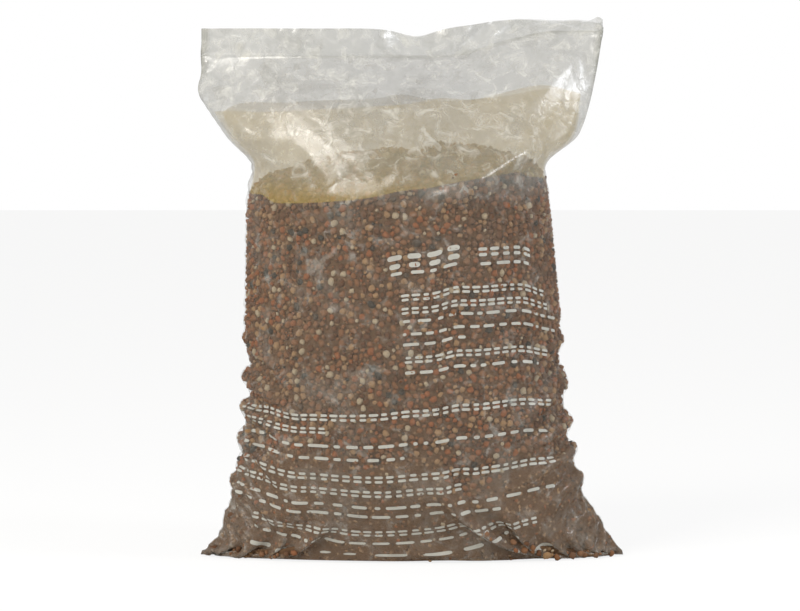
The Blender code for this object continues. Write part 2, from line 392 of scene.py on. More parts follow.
@functools.cache
def relaxed_film(width, length, header, seed):
    """The film's shape as rings of points, every ring from the left side fold round the front and back."""
    rng = np.random.default_rng(seed)
    ring = None
    plan = ((300, 0.9, 0.0040), (300, 0.6, 0.0010), (260, 0.35, 0.0003), (200, 0.2, 0.00015))
    for level, (steps, bend, tremble) in enumerate(plan[: LEVELS]):
        finer = 2**level
        guess = bag_guess(finer, width, header)
        rows, columns, _ = guess.shape
        half, weld = columns // 2, BODY_ROWS * finer
        x, z = guess[..., 0], guess[..., 2]
        front = np.arange(columns) <= half
        reached = np.where(x > 0, reach(z, 1), reach(z, -1))
        ridge = np.where(front, folds_at(x, z, x / reached, -1), folds_at(x, z, x / reached, 1))
        if level < 2:
            ring = guess.copy() if ring is None else refine(ring)
        else:
            head = smooth((z - 0.222) / 0.026)[..., None]
            ring = refine(ring) * head + guess * (1 - head) if level == 2 else refine(ring)
        fixed = np.zeros((rows, columns), bool)
        fixed[[0, weld]] = True
        if finer > 2:
            fixed[weld + 1] = True
        column, row = np.arange(columns), np.arange(rows)[:, None]
        share = np.where(column <= half, -1 + 2 * column / half, 3 - 2 * column / half)
        # Lengths are those of the flat tube, less the slack where the film lies taut on the soil
        middle = (z[1:] + z[:-1]) / 2
        low = 1 - smooth((middle - 0.135) / 0.05)
        left, right = smooth((-share - 0.5) / 0.35), smooth((share - 0.35) / 0.4)
        slack = left * (0.2 + 0.8 * low) + right * (0.25 + 0.75 * low)
        slack = np.maximum(slack, 0.8 * (1 - smooth((middle - 0.01) / 0.03)))
        slack = np.maximum(np.clip(slack, 0, 1), 0.25 * smooth((middle - 0.222) / 0.02))
        slack = np.where(row[:-1] < weld, slack, 1.0)
        along = np.where(row[:-1] < weld, length / weld, header / (HEADER_ROWS * finer)) * np.ones_like(slack)
        across = np.full((rows, columns), width / half)
        own = np.linalg.norm(np.diff(guess, axis=0), axis=2)
        right_of = np.roll(guess, -1, axis=1)
        slant = np.hypot((across[1:] + across[:-1]) / 2, along)
        slants = []
        for one, other in ((guess[:-1], right_of[1:]), (right_of[:-1], guess[1:])):
            slants.append(slant * slack + np.linalg.norm(one - other, axis=2) * (1 - slack))
        along = along * slack + 0.996 * np.minimum(own, along) * (1 - slack)
        groups = links_of(rows, columns, across, along, slants, bend)
        near_fold = np.exp(-((np.minimum(column % half, half - column % half) / half / 0.03) ** 2))
        body = smooth((0.235 - z) / 0.02) * smooth((np.abs(share) - 0.35) / 0.25)
        pull = 0.006 + 0.030 * smooth((z - 0.235) / 0.02) + near_fold * (0.02 + 0.25 * smooth((z - 0.24) / 0.02)) + 6 * ridge + 0.05 * body
        pull = np.minimum(pull, 0.3)
        pull[weld + 1 :] = 0.01 + 0.1 * near_fold
        pull[-1] = 0.03 + 0.1 * near_fold
        inset = (0.001 + 0.004 * smooth((np.abs(share) - 0.5) / 0.4)) * np.ones((rows, 1))
        ring = let_go(ring, steps, groups, fixed, pull, guess, inset, width, rng, tremble)
    gathered = smooth((np.abs(share) - 0.45) / 0.3) * smooth((0.16 - z) / 0.04)
    weight = (1 - 0.8 * gathered) * (1 - near_fold) * ~fixed
    weight[[0, -1]] = 0
    return refine(eased(ring, weight, 14))


def outward(ring):
    """Unit normals of a grid of rings, away from the bag."""
    up = np.gradient(ring, axis=0)
    round_ = (np.roll(ring, -1, axis=1) - np.roll(ring, 1, axis=1)) / 2
    normal = np.cross(round_, up)
    return normal / (np.linalg.norm(normal, axis=2, keepdims=True) + 1e-12)


class Film:
    """The relaxed film, and where a point of the flat tube lies on it."""

    def __init__(self, settings):
        self.width, self.length, self.header = settings.lay_flat_width, settings.tube_length, settings.header_height
        self.points = relaxed_film(self.width, self.length, self.header, settings.seed)
        self.normals = outward(self.points)
        self.rows, self.columns, _ = self.points.shape
        self.weld = round((self.rows - 1) * BODY_ROWS / (BODY_ROWS + HEADER_ROWS))

    def row_at(self, up):
        """Row of the grid at a distance up the flat tube."""
        above = (up - self.length) / self.header * (self.rows - 1 - self.weld)
        return np.where(up <= self.length, up / self.length * self.weld, self.weld + above)

    def at(self, along, up, lift):
        """Points on the film: along is the distance round the tube from the left fold, up the distance up it."""
        column = np.asarray(along) / (2 * self.width) * self.columns
        row = np.clip(self.row_at(np.asarray(up)), 0, self.rows - 1.001)
        j, i = np.floor(row).astype(int), np.floor(column).astype(int)
        v, u = (row - j)[:, None], (column - i)[:, None]
        i0, i1 = i % self.columns, (i + 1) % self.columns

        def mixed(grid):
            low = grid[j, i0] * (1 - u) + grid[j, i1] * u
            return low * (1 - v) + (grid[j + 1, i0] * (1 - u) + grid[j + 1, i1] * u) * v

        return mixed(self.points) + lift * mixed(self.normals)


# Meshes and materials


def mesh_of(name, points, faces, closed_smooth=True):
    data = bpy.data.meshes.new(name)
    data.from_pydata(np.asarray(points).tolist(), [], np.asarray(faces).tolist() if len(faces) else [])
    data.update()
    if closed_smooth:
        data.shade_smooth()
    made = bpy.data.objects.new(name, data)
    bpy.context.scene.collection.objects.link(made)
    return made


def ring_faces(rows, columns):
    index = np.arange(rows * columns).reshape(rows, columns)
    right = np.roll(index, -1, axis=1)
    return np.stack([index[:-1], right[:-1], right[1:], index[1:]], -1).reshape(-1, 4)


def node(tree, kind, settings=None, links=None, **attributes):
    """Adds a node with its settings, the values of its sockets and the links into them."""
    made = tree.nodes.new(kind)
    for name, value in attributes.items():
        setattr(made, name, value)
    for socket, value in (settings or {}).items():
        made.inputs[socket].default_value = value
    for socket, source in (links or {}).items():
        tree.links.new(source, made.inputs[socket])
    return made


def shader_of(name):
    """A new material, its node tree and its main shader."""
    material = bpy.data.materials.new(name)
    material.use_nodes = True
    return material, material.node_tree, material.node_tree.nodes["Principled BSDF"]


def set_sockets(shader, values):
    for socket, value in values.items():
        shader.inputs[socket].default_value = value


def clear_film(tint):
    """Blown low-density polyethylene, 0.1 mm: glossy, and grey with scatter where it stands off the soil; pale, more
    opaque flecks on its crumples are painted reflection, and its creases are made more opaque, partly stress-whitening
    and partly painted highlight.
    """
    material, tree, shader = shader_of("blown polyethylene film")
    place = node(tree, "ShaderNodeTexCoord")
    slack = node(tree, "ShaderNodeAttribute", attribute_name="slack")
    crease_whitening_and_highlight = node(tree, "ShaderNodeAttribute", attribute_name="crease_whitening_and_highlight")
    # Crumples of about 9 mm and creases of about 3 mm, as thin film takes in handling. The crumples also carry painted
    # reflection: pale, more opaque flecks where they stand high.
    crumples_and_painted_reflection = node(tree, "ShaderNodeTexNoise", {"Scale": 110, "Detail": 4, "Roughness": 0.6, "Distortion": 0.8}, {"Vector": place.outputs["Object"]})
    crinkle = node(tree, "ShaderNodeTexVoronoi", {"Scale": 160}, {"Vector": place.outputs["Object"]}, feature="DISTANCE_TO_EDGE")
    # Painted reflection: the film is more opaque on the high parts of the crumples.
    painted_reflection_fleck = node(tree, "ShaderNodeMapRange", {"From Min": 0.56, "From Max": 0.72, "To Min": 0.0, "To Max": 0.22}, {"Value": crumples_and_painted_reflection.outputs["Fac"]})
    # Dust rubbed on the inside, in patches of about 30 mm
    smear = node(tree, "ShaderNodeTexNoise", {"Scale": 32, "Detail": 5, "Roughness": 0.65, "Distortion": 0.5}, {"Vector": place.outputs["Object"]})
    dust = node(tree, "ShaderNodeMapRange", {"From Min": 0.52, "From Max": 0.72, "To Min": 0.0, "To Max": 0.18}, {"Value": smear.outputs["Fac"]})
    haze = node(tree, "ShaderNodeMapRange", {"From Min": 0.0, "From Max": 1.0, "To Min": 0.10, "To Max": 0.42}, {"Value": slack.outputs["Fac"]})
    haze_and_painted_reflection = node(tree, "ShaderNodeMath", {}, {0: haze.outputs["Result"], 1: painted_reflection_fleck.outputs["Result"]}, operation="ADD")
    # Painted highlight along sharp creases, partly the stress-whitening of folded film: the film is made more opaque
    # there.
    white = node(tree, "ShaderNodeMath", {1: 0.35}, {0: crease_whitening_and_highlight.outputs["Fac"]}, operation="MULTIPLY")
    folded = node(tree, "ShaderNodeMath", {}, {0: haze_and_painted_reflection.outputs[0], 1: white.outputs[0]}, operation="ADD")
    dusty = node(tree, "ShaderNodeMath", {}, {0: folded.outputs[0], 1: dust.outputs["Result"]}, operation="ADD", use_clamp=True)
    tree.links.new(dusty.outputs[0], shader.inputs["Alpha"])
    # Painted reflection: the film's colour turns pale where the crumples stand high, over its own tint.
    shade = node(tree, "ShaderNodeMapRange", {"From Min": 0.45, "From Max": 0.75, "To Min": 0.0, "To Max": 1.0}, {"Value": crumples_and_painted_reflection.outputs["Fac"]})
    tone = node(tree, "ShaderNodeMix", {"A": tint, "B": linear("E4E2D8")}, {"Factor": shade.outputs["Result"]}, data_type="RGBA")
    tree.links.new(tone.outputs["Result"], shader.inputs["Base Color"])
    rough = node(tree, "ShaderNodeBump", {"Strength": 0.35, "Distance": 0.0012}, {"Height": crumples_and_painted_reflection.outputs["Fac"]})
    fine = node(tree, "ShaderNodeBump", {"Strength": 0.15, "Distance": 0.0006}, {"Height": crinkle.outputs["Distance"], "Normal": rough.outputs["Normal"]})
    tree.links.new(fine.outputs["Normal"], shader.inputs["Normal"])
    set_sockets(shader, {"Roughness": 0.2, "IOR": 1.51, "Specular IOR Level": 1.0})
    return material


def printing_ink(name, colour, alpha):
    """Flexographic ink under the film's face: flat, a little uneven, thin where it was scuffed."""
    material, tree, shader = shader_of(name)
    place = node(tree, "ShaderNodeTexCoord")
    # Mottle of about 2 mm, and scuffs of about 15 mm
    mottle = node(tree, "ShaderNodeTexNoise", {"Scale": 450, "Detail": 3}, {"Vector": place.outputs["Object"]})
    scuff = node(tree, "ShaderNodeTexNoise", {"Scale": 65, "Detail": 4}, {"Vector": place.outputs["Object"]})
    darker = tuple(c * 0.88 for c in colour[:3]) + (1.0,)
    tone = node(tree, "ShaderNodeMix", {"A": darker, "B": colour}, {"Factor": mottle.outputs["Fac"]}, data_type="RGBA")
    tree.links.new(tone.outputs["Result"], shader.inputs["Base Color"])
    thin = node(tree, "ShaderNodeMapRange", {"From Min": 0.3, "From Max": 0.55, "To Min": alpha * 0.82, "To Max": alpha}, {"Value": scuff.outputs["Fac"]})
    tree.links.new(thin.outputs["Result"], shader.inputs["Alpha"])
    set_sockets(shader, {"Roughness": 0.55, "IOR": 1.5})
    return material


def fired_clay(name, colour):
    """Baked clay granule, broken and rubbed: matt, porous, with painted shade in its pores and a bloom of its own dust.
    """
    material, tree, shader = shader_of(name)
    place = node(tree, "ShaderNodeTexCoord")
    # Pores of about 0.5 mm, drawn as coarse as shows, and dust that lies in patches of about 40 mm
    pore = node(tree, "ShaderNodeTexNoise", {"Scale": 900, "Detail": 4, "Roughness": 0.7}, {"Vector": place.outputs["Object"]})
    bloom = node(tree, "ShaderNodeTexNoise", {"Scale": 25, "Detail": 3}, {"Vector": place.outputs["Object"]})
    dark = tuple(c * 0.62 for c in colour[:3]) + (1.0,)
    light = tuple(min(c * 1.28, 1.0) for c in colour[:3]) + (1.0,)
    # The clay's mottle follows the pore bump, darker in its pits: its own tone with painted shade in the pores.
    clay_mottle_and_pore_shade = node(tree, "ShaderNodeMix", {"A": dark, "B": light}, {"Factor": pore.outputs["Fac"]}, data_type="RGBA")
    cover = node(tree, "ShaderNodeMapRange", {"From Min": 0.48, "From Max": 0.72, "To Min": 0.0, "To Max": 0.45}, {"Value": bloom.outputs["Fac"]})
    dusty = node(tree, "ShaderNodeMix", {"B": linear("8E7560")}, {"Factor": cover.outputs["Result"], "A": clay_mottle_and_pore_shade.outputs["Result"]}, data_type="RGBA")
    tree.links.new(dusty.outputs["Result"], shader.inputs["Base Color"])
    pits = node(tree, "ShaderNodeBump", {"Strength": 0.5, "Distance": 0.0004}, {"Height": pore.outputs["Fac"]})
    tree.links.new(pits.outputs["Normal"], shader.inputs["Normal"])
    set_sockets(shader, {"Roughness": 0.95, "Specular IOR Level": 0.2})
    return material


def clay_dust(colour):
    """Crumbled clay packed against the film: fine, matt, with specks of lighter and darker grit."""
    material, tree, shader = shader_of("packed clay dust")
    place = node(tree, "ShaderNodeTexCoord")
    # Grit of 1 to 2 mm
    grit = node(tree, "ShaderNodeTexVoronoi", {"Scale": 620, "Randomness": 1.0}, {"Vector": place.outputs["Object"]})
    cloud = node(tree, "ShaderNodeTexNoise", {"Scale": 60, "Detail": 6, "Roughness": 0.6}, {"Vector": place.outputs["Object"]})
    fine = node(tree, "ShaderNodeTexNoise", {"Scale": 1100, "Detail": 3}, {"Vector": place.outputs["Object"]})
    base = node(tree, "ShaderNodeMix", {"A": linear("5C4634"), "B": colour}, {"Factor": cloud.outputs["Fac"]}, data_type="RGBA")
    level = node(tree, "ShaderNodeSeparateColor", {}, {"Color": grit.outputs["Color"]})
    pale = node(tree, "ShaderNodeMapRange", {"From Min": 0.86, "From Max": 0.98, "To Min": 0.0, "To Max": 0.7}, {"Value": level.outputs["Red"]})
    deep = node(tree, "ShaderNodeMapRange", {"From Min": 0.86, "From Max": 0.98, "To Min": 0.0, "To Max": 0.6}, {"Value": level.outputs["Green"]})
    specks = node(tree, "ShaderNodeMix", {"B": linear("A88A6B")}, {"Factor": pale.outputs["Result"], "A": base.outputs["Result"]}, data_type="RGBA")
    both = node(tree, "ShaderNodeMix", {"B": linear("33261C")}, {"Factor": deep.outputs["Result"], "A": specks.outputs["Result"]}, data_type="RGBA")
    tree.links.new(both.outputs["Result"], shader.inputs["Base Color"])
    lumps = node(tree, "ShaderNodeBump", {"Strength": 0.6, "Distance": 0.0006}, {"Height": grit.outputs["Distance"]})
    powder = node(tree, "ShaderNodeBump", {"Strength": 0.4, "Distance": 0.0003}, {"Height": fine.outputs["Fac"], "Normal": lumps.outputs["Normal"]})
    tree.links.new(powder.outputs["Normal"], shader.inputs["Normal"])
    set_sockets(shader, {"Roughness": 1.0, "Specular IOR Level": 0.1})
    return material


def ripple(points, size, rng, waves=14):
    """A smooth chance pattern over points, from -1 to 1, with hills of about the size given."""
    total = np.zeros(points.shape[:-1])
    for _ in range(waves):
        turn = rng.normal(size=3)
        turn *= 2 * math.pi / (2 * size) / np.linalg.norm(turn) * rng.uniform(0.6, 1.4)
        total += np.sin(points @ turn + rng.uniform(0, 2 * math.pi))
    return total / math.sqrt(waves / 2) / 2


def soil_skin(film, rng):
    """Rings of the soil's outer skin: the film's inside up to the shoulder, then a low mound."""
    heights = film.points[..., 2].mean(axis=1)
    top = int(np.argmax(heights > SOIL_SHOULDER))
    rings = film.points[: top + 1]
    shrink = np.linspace(1, 0.03, 26)[1:, None]
    turn = np.arccos(shrink ** (1 / CREST_SHORT))
    edge = rings[-1]
    mound = np.stack([edge[:, 0] * np.cos(turn) ** CREST_LONG, edge[:, 1] * shrink, edge[:, 2] + (SOIL_CREST - SOIL_SHOULDER) * np.sin(turn)], -1)
    mound[..., 2] += 0.0022 * ripple(mound, 0.022, rng) * (1 - shrink) - 0.0015
    skin = np.concatenate([rings, mound])
    return skin, outward(skin), top


def dust_share(points, dust_height, rng):
    """1 where dust fills the gaps between the granules, 0 above."""
    edge = dust_height + 0.016 * ripple(points, 0.030, rng)
    return smooth((edge - points[..., 2]) / 0.022)


def pebble(rng, small):
    """Corners and faces of one broken, rubbed lump of radius 1."""
    lump = bmesh.new()
    if small:
        bmesh.ops.create_icosphere(lump, subdivisions=1, radius=1.0)
    else:
        bmesh.ops.create_cube(lump, size=2.0)
        bmesh.ops.subdivide_edges(lump, edges=lump.edges, cuts=1, use_grid_fill=True)
    corners = np.array([v.co for v in lump.verts])
    faces = np.array([[v.index for v in face.verts] for face in lump.faces])
    lump.free()
    ball = corners / np.linalg.norm(corners, axis=1, keepdims=True)
    corners = ball * 0.8 + corners * (0.0 if small else 0.14)
    corners /= np.linalg.norm(corners, axis=1).mean()
    corners *= 1 + 0.13 * rng.normal(size=(len(corners), 1)).clip(-1.4, 1.4)
    return corners * rng.uniform((0.98, 0.86, 0.74), (1.16, 1.0, 0.92)), faces


def turned(rng, count):
    """Random rotations, as matrices."""
    q = rng.normal(size=(count, 4))
    w, x, y, z = (q / np.linalg.norm(q, axis=1, keepdims=True)).T
    rows = (
        (1 - 2 * (y * y + z * z), 2 * (x * y - z * w), 2 * (x * z + y * w)),
        (2 * (x * y + z * w), 1 - 2 * (x * x + z * z), 2 * (y * z - x * w)),
        (2 * (x * z - y * w), 2 * (y * z + x * w), 1 - 2 * (x * x + y * y)),
    )
    return np.array([[cell for cell in row] for row in rows]).transpose(2, 0, 1)


def scatter(skin, normals, largest, smallest, share_kept, rng):
    """Settles granules under the skin, the largest first: centres and radii."""
    rows, columns, _ = skin.shape
    a, b = skin[:-1], np.roll(skin, -1, axis=1)[:-1]
    c = skin[1:]
    area = np.linalg.norm(np.cross(b - a, c - a), axis=2)
    area[skin[:-1, :, 2] < 0.002] = 0
    odds = np.cumsum(area.ravel())
    cell = largest * 1.05
    taken = {}
    centres, radii = [], []
    span = largest / 2 - smallest / 2
    classes = ((0.88, 1.0, 900), (0.55, 0.85, 15000), (0.28, 0.55, 20000), (0.0, 0.25, 26000))
    for low, high, tries in classes:
        spot = np.searchsorted(odds, rng.uniform(0, odds[-1], tries))
        j, i = np.divmod(spot, columns)
        u, v = rng.uniform(size=(2, tries, 1))
        i1 = (i + 1) % columns

        def mixed(grid):
            return (grid[j, i] * (1 - u) + grid[j, i1] * u) * (1 - v) + (grid[j + 1, i] * (1 - u) + grid[j + 1, i1] * u) * v

        radius = smallest / 2 + span * rng.uniform(low, high, tries)
        place, out = mixed(skin), mixed(normals)
        keep = rng.uniform(size=tries) < share_kept(place, radius)
        place = place - out * (radius * 0.86 + 0.00045)[:, None]
        for centre, r in zip(place[keep].tolist(), radius[keep].tolist()):
            x, y, z = (math.floor(value / cell) for value in centre)
            clear = True
            for key in ((x + p, y + q, z + w) for p in (-1, 0, 1) for q in (-1, 0, 1) for w in (-1, 0, 1)):
                for other, other_r in taken.get(key, ()):
                    if math.dist(centre, other) < 0.86 * (r + other_r):
                        clear = False
                        break
                if not clear:
                    break
            if clear:
                taken.setdefault((x, y, z), []).append((centre, r))
                centres.append(centre)
                radii.append(r)
    return np.array(centres), np.array(radii)


def bar(along, up, long, tall):
    """Outline of a bar with rounded ends, from its lower left."""
    r = tall / 2
    turn = np.linspace(-math.pi / 2, math.pi / 2, 5)
    right = [(along + long - r + r * math.cos(t), up + r + r * math.sin(t)) for t in turn]
    left = [(along + r - r * math.cos(t), up + r - r * math.sin(t)) for t in turn]
    return right + left


def lay_ink(film, name, outlines, lift, material):
    """Makes ink of outlines on the flat film, cut along the film's own grid so that it follows every fold."""
    sheet = bmesh.new()
    for outline in outlines:
        sheet.faces.new([sheet.verts.new((a, u, 0)) for a, u in outline])
    bmesh.ops.triangulate(sheet, faces=sheet.faces)
    places = np.array([v.co for v in sheet.verts])
    steps = (2 * film.width / film.columns, film.length / film.weld)
    for k, step in enumerate(steps):
        low, high = places[:, k].min(), places[:, k].max()
        for line in range(math.ceil(low / step), math.floor(high / step) + 1):
            co = [0.0, 0.0, 0.0]
            co[k] = line * step
            normal = (1.0, 0.0, 0.0) if k == 0 else (0.0, 1.0, 0.0)
            geometry = sheet.verts[:] + sheet.edges[:] + sheet.faces[:]
            bmesh.ops.bisect_plane(sheet, geom=geometry, plane_co=co, plane_no=normal, dist=1e-7)
    bmesh.ops.triangulate(sheet, faces=[face for face in sheet.faces if len(face.verts) > 4])
    flat = np.array([v.co for v in sheet.verts])
    places = film.at(flat[:, 0], flat[:, 1], lift)
    for vert, place in zip(sheet.verts, places):
        vert.co = place
    data = bpy.data.meshes.new(name)
    sheet.to_mesh(data)
    sheet.free()
    data.shade_smooth()
    data.materials.append(material)
    ink = bpy.data.objects.new(name, data)
    bpy.context.scene.collection.objects.link(ink)
    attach(ink, "root")
    return ink


# Settings a user would change


class SOILBAG_PG_film(bpy.types.PropertyGroup):
    lay_flat_width: FloatProperty(name="Lay-flat width", description="Width of the empty tube laid flat", default=0.270, min=0.05, unit="LENGTH")
    tube_length: FloatProperty(name="Tube length", description="Flat length from the foot's weld to the top weld", default=0.396, min=0.05, unit="LENGTH")
    header_height: FloatProperty(name="Header", description="Loose film above the top weld", default=0.018, min=0.0, unit="LENGTH")
    seed: IntProperty(name="Seed", description="Picks one of the film's chance crumples", default=11, min=0)
    tint: FloatVectorProperty(name="Film", description="Colour that the film scatters", default=linear("A8A79D"), size=4, min=0, max=1, subtype="COLOR")


class SOILBAG_PG_print(bpy.types.PropertyGroup):
    white: FloatVectorProperty(name="White ink", description="Colour of the white print", default=linear("D9D7CD"), size=4, min=0, max=1, subtype="COLOR")
    yellow: FloatVectorProperty(name="Yellow ink", description="Colour of the band", default=linear("E2BE3A"), size=4, min=0, max=1, subtype="COLOR")
    grey: FloatVectorProperty(name="Grey ink", description="Colour of the half-tone areas", default=linear("8C857C"), size=4, min=0, max=1, subtype="COLOR")
    band_foot: FloatProperty(name="Band foot", description="Lower edge of the yellow band, up the flat tube", default=0.285, min=0.0, unit="LENGTH")
    band_top: FloatProperty(name="Band top", description="Upper edge of the yellow band, up the flat tube", default=0.352, min=0.0, unit="LENGTH")
    margin: FloatProperty(name="Clear margin", description="Unprinted film beside each side fold", default=0.012, min=0.0, unit="LENGTH")


class SOILBAG_PG_soil(bpy.types.PropertyGroup):
    largest: FloatProperty(name="Largest granule", description="Diameter of the largest granules", default=0.0058, min=0.001, unit="LENGTH")
    smallest: FloatProperty(name="Smallest granule", description="Diameter of the smallest granules", default=0.0020, min=0.0005, unit="LENGTH")
    dust_height: FloatProperty(name="Dust height", description="Height up to which dust fills the gaps between the granules", default=0.078, min=0.0, unit="LENGTH")
    seed: IntProperty(name="Seed", description="Picks one of the chance settlings of the granules", default=5, min=0)
    clay: FloatVectorProperty(name="Clay", description="Usual colour of a granule", default=linear("8B6244"), size=4, min=0, max=1, subtype="COLOR")
    dust: FloatVectorProperty(name="Dust", description="Colour of the packed dust", default=linear("7C5F47"), size=4, min=0, max=1, subtype="COLOR")


class SOILBAG_PG_stage(bpy.types.PropertyGroup):
    elevation: FloatProperty(name="Camera elevation", description="Angle of the camera above the bag's middle", default=math.radians(4.5), subtype="ANGLE")
    distance: FloatProperty(name="Camera distance", description="From the camera to the bag's middle", default=2.6, min=0.3, unit="LENGTH")
    frame_width: FloatProperty(name="Frame width", description="Width that the picture takes in at the bag's middle", default=0.509, min=0.1, unit="LENGTH")
    key: FloatProperty(name="Key light", description="Strength of the large softbox", default=16, min=0, unit="POWER")
    rim: FloatProperty(name="Side light", description="Strength of the strip at the right", default=6, min=0, unit="POWER")


# Builders


class SOILBAG_OT_film(bpy.types.Operator):
    """Lets the film go over the soil and gives it its gloss, haze and creases, the creases whitened partly as painted
    highlight
    """

    bl_idname = "soilbag.film"
    bl_label = "Film bag"

    def execute(self, context):
        settings = context.scene.soilbag_film
        film = Film(settings)
        bag = mesh_of("film_tube", film.points.reshape(-1, 3), ring_faces(film.rows, film.columns))
        bend = np.linalg.norm(film.normals - np.roll(film.normals, 1, axis=1), axis=2)
        bend = np.maximum(bend, np.linalg.norm(np.gradient(film.normals, axis=0), axis=2))
        z = film.points[..., 2]
        slack = np.maximum(smooth((z - 0.222) / 0.03), 0)
        # Sharp bends: the film is made more opaque along them, partly stress-whitening and partly painted highlight.
        crease_whitening_and_highlight = np.clip((bend - 0.22) / 0.5, 0, 1) * (0.35 + 0.65 * slack)
        for name, values in (("slack", slack), ("crease_whitening_and_highlight", crease_whitening_and_highlight)):
            bag.data.attributes.new(name, "FLOAT", "POINT").data.foreach_set("value", values.ravel().astype(np.float32))
        bag.data.materials.append(clear_film(settings.tint))
        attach(bag, "root")
        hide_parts("film_bag")
        return {"FINISHED"}


class SOILBAG_OT_dust(bpy.types.Operator):
    """Packs the dust that the granules lie in, up to the top of the mound"""

    bl_idname = "soilbag.dust"
    bl_label = "Packed dust"

    def execute(self, context):
        film, soil = Film(context.scene.soilbag_film), context.scene.soilbag_soil
        rng = np.random.default_rng(soil.seed)
        skin, normals, _ = soil_skin(film, rng)
        skin, normals = skin[::2], normals[::2]
        packed = dust_share(skin, soil.dust_height, rng)
        depth = 0.0021 + (0.0007 - 0.0021) * packed
        depth *= 0.25 + 0.75 * smooth(skin[..., 2] / 0.02)
        inner = skin - normals * depth[..., None]
        inner[..., 2] = np.maximum(inner[..., 2], 0.0006)
        rows, columns, _ = inner.shape
        core = mesh_of("dust_core", inner.reshape(-1, 3), ring_faces(rows, columns))
        build = bmesh.new()
        build.from_mesh(core.data)
        build.verts.ensure_lookup_table()
        build.faces.new([build.verts[(rows - 1) * columns + i] for i in range(columns)])
        build.to_mesh(core.data)
        build.free()
        core.data.materials.append(clay_dust(soil.dust))
        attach(core, "root")
        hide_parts("soil_fill")
        return {"FINISHED"}


class SOILBAG_OT_granules(bpy.types.Operator):
    """Settles the granules against the film and over the mound"""

    bl_idname = "soilbag.granules"
    bl_label = "Granules"

    def execute(self, context):
        film, soil = Film(context.scene.soilbag_film), context.scene.soilbag_soil
        rng = np.random.default_rng(soil.seed)
        skin, normals, _ = soil_skin(film, rng)
        state = rng.bit_generator.state

        def share_kept(place, radius):
            rng_edge = np.random.default_rng(0)
            rng_edge.bit_generator.state = state
            return 1 - 0.80 * dust_share(place, soil.dust_height, rng_edge) * (radius > 0.0006)

        centres, radii = scatter(skin, normals, soil.largest, soil.smallest, share_kept, rng)
        shades = (
            (0.40, "fired clay, brown", "8B6244"),
            (0.22, "fired clay, dark", "6B4A34"),
            (0.14, "fired clay, red", "97603E"),
            (0.15, "fired clay, tan", "A5835F"),
            (0.05, "pumice, pale", "B9A78C"),
            (0.04, "charcoal", "4A423A"),
        )
        odds = np.array([shade[0] for shade in shades])
        pick = rng.choice(len(shades), len(centres), p=odds / odds.sum())
        clays = [fired_clay(name, linear(colour)) for _, name, colour in shades]
        small = radii < soil.smallest / 2 + 0.25 * (soil.largest - soil.smallest) / 2
        batch = 4000
        for title, chosen in (("granules", ~small), ("grit", small)):
            lumps = [pebble(rng, title == "grit") for _ in range(9)]
            members = np.flatnonzero(chosen)
            members = members[np.argsort(np.arctan2(centres[members, 1], centres[members, 0]))]
            for number, start in enumerate(range(0, len(members), batch)):
                some = members[start : start + batch]
                turns = turned(rng, len(some))
                corners, faces, slots, first = [], [], [], 0
                for k, (shape, sides) in enumerate(lumps):
                    mine = some[k::9]
                    placed = np.einsum("nij,vj->nvi", turns[k::9], shape) * radii[mine, None, None] + centres[mine, None]
                    offset = first + np.arange(len(mine))[:, None, None] * len(shape)
                    corners.append(placed.reshape(-1, 3))
                    faces.append((sides[None] + offset).reshape(-1, sides.shape[1]))
                    slots.append(np.repeat(pick[mine], len(sides)))
                    first += len(mine) * len(shape)
                made = mesh_of(f"{title}_{number + 1}", np.concatenate(corners), np.concatenate(faces))
                for clay in clays:
                    made.data.materials.append(clay)
                made.data.polygons.foreach_set("material_index", np.concatenate(slots).astype(np.int32))
                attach(made, "root")
        return {"FINISHED"}


class SOILBAG_OT_band(bpy.types.Operator):
    """Prints the yellow band round the headspace, front and back"""

    bl_idname = "soilbag.band"
    bl_label = "Yellow band"

    def execute(self, context):
        film, ink = Film(context.scene.soilbag_film), context.scene.soilbag_print
        outlines = []
        for start in (0.0, film.width):
            left, right = start + ink.margin, start + film.width - ink.margin
            outlines.append([(left, ink.band_foot), (right, ink.band_foot), (right, ink.band_top), (left, ink.band_top)])
        lay_ink(film, "yellow_band", outlines, -0.00012, printing_ink("yellow film ink", tuple(ink.yellow), 0.34))
        return {"FINISHED"}


class SOILBAG_OT_print(bpy.types.Operator):
    """Prints the rows of white bars on the front"""

    bl_idname = "soilbag.print"
    bl_label = "White print"

    def execute(self, context):
        film, ink = Film(context.scene.soilbag_film), context.scene.soilbag_print
        rng = np.random.default_rng(3)
        white = []
        for left, right, up, tall in TEXT_ROWS:
            bars = 2 if tall > LARGE_ROW else 1
            height = tall * 0.6 / bars
            along = left
            while right - along > tall:
                cell = min(tall * rng.uniform(0.9, 1.1) if bars == 2 else tall * rng.uniform(1.2, 4.0), right - along)
                for k in range(bars):
                    long = cell * rng.uniform(0.6, 1.0)
                    foot = up - tall / 2 + (k + 0.5) * tall / bars - height / 2
                    white.append(bar(along + (cell - long) / 2, foot, long, height))
                along += cell + tall * (0.15 if bars == 2 else 0.5)
        middle = film.width / 2
        white = [[(a, u + PRINT_BOW * (a / middle - 1) ** 2) for a, u in outline] for outline in white]
        lay_ink(film, "white_print", white, -0.00018, printing_ink("white film ink", tuple(ink.white), 0.93))
        return {"FINISHED"}


